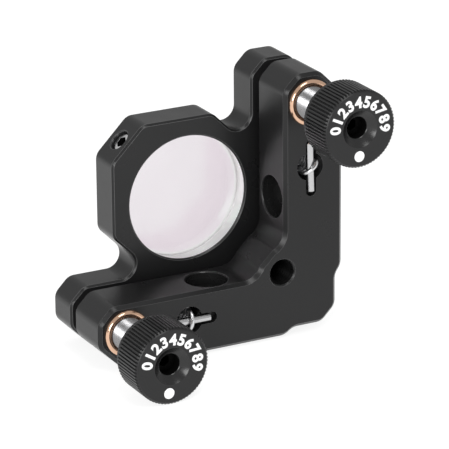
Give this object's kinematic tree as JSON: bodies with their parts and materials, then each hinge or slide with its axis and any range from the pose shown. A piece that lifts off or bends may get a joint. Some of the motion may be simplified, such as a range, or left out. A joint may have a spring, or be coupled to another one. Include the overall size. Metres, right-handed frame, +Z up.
{
  "type": "kinematic mirror mount",
  "caption": "Two L-shaped plates pulled together by springs round a ball, with two fine screws with knurled knobs that tilt a round mirror.",
  "frame": {"origin": "middle of the post hole's mouth, on the base face", "axes": "+Z up, out of the base along the post hole; +Y along the optical axis, from the knobs to the mirror; +X towards the upright arm"},
  "size_m": [0.0529, 0.0388, 0.0528],
  "materials": {
    "anodised": "black anodised, satin",
    "knob_black": "black anodised, straight knurl, white printed marks",
    "mirror_glass": "polished, coated",
    "steel": "ground stainless steel",
    "polished_steel": "polished hardened steel",
    "spring_steel": "drawn spring wire",
    "bronze": "turned phosphor bronze",
    "nylon": "plain nylon"
  },
  "bodies": {
    "back_plate": {"back_plate": "anodised", "top_bushing": "bronze", "side_bushing": "bronze", "pivot_seat": "steel", "top_back_pin": "polished_steel", "side_back_pin": "polished_steel", "top_spring": "spring_steel", "side_spring": "spring_steel"},
    "top_tip": {"top_ball_tip": "polished_steel"},
    "top_adjuster": {"top_screw": "steel", "top_knob": "knob_black"},
    "side_tip": {"side_ball_tip": "polished_steel"},
    "side_adjuster": {"side_screw": "steel", "side_knob": "knob_black"},
    "pivot_ball": {"pivot_ball": "polished_steel"},
    "front_plate": {"front_plate": "anodised", "mirror_glass": "mirror_glass", "mirror_set_screw": "steel", "mirror_screw_tip": "nylon", "cone_seat": "steel", "vee_seat": "steel", "flat_seat": "steel", "top_front_pin": "polished_steel", "side_front_pin": "polished_steel"}
  },
  "joints": [
    {"name": "top_travel", "type": "slide", "parent": "back_plate", "child": "top_tip", "axis": [0, 1, 0], "range_m": [-0.00134, 0.00334]},
    {"name": "top_turn", "type": "hinge", "parent": "top_tip", "child": "top_adjuster", "pos_m": [0.01925, -0.00507, 0.0452], "axis": [0, 1, 0], "range_deg": [-1516, 3787]},
    {"name": "side_travel", "type": "slide", "parent": "back_plate", "child": "side_tip", "axis": [0, 1, 0], "range_m": [-0.00134, 0.00334]},
    {"name": "side_turn", "type": "hinge", "parent": "side_tip", "child": "side_adjuster", "pos_m": [-0.019, -0.00507, 0.00695], "axis": [0, 1, 0], "range_deg": [-1516, 3787]},
    {"name": "side_tilt", "type": "hinge", "parent": "back_plate", "child": "pivot_ball", "pos_m": [0.01925, 0.00702, 0.00695], "axis": [0, 0, -1], "range_deg": [-2.01, 5.01]},
    {"name": "top_tilt", "type": "hinge", "parent": "pivot_ball", "child": "front_plate", "pos_m": [0.01925, 0.00702, 0.00695], "axis": [-1, 0, 0], "range_deg": [-2.01, 5.01], "deforming": ["top_spring", "side_spring"]}
  ],
  "couplings": [
    {"joint": "top_turn", "follows": "top_travel", "rad_per_m": 19790},
    {"joint": "top_tilt", "follows": "top_travel", "rad_per_m": 26.144},
    {"joint": "side_turn", "follows": "side_travel", "rad_per_m": 19790},
    {"joint": "side_tilt", "follows": "side_travel", "rad_per_m": 26.144}
  ]
}
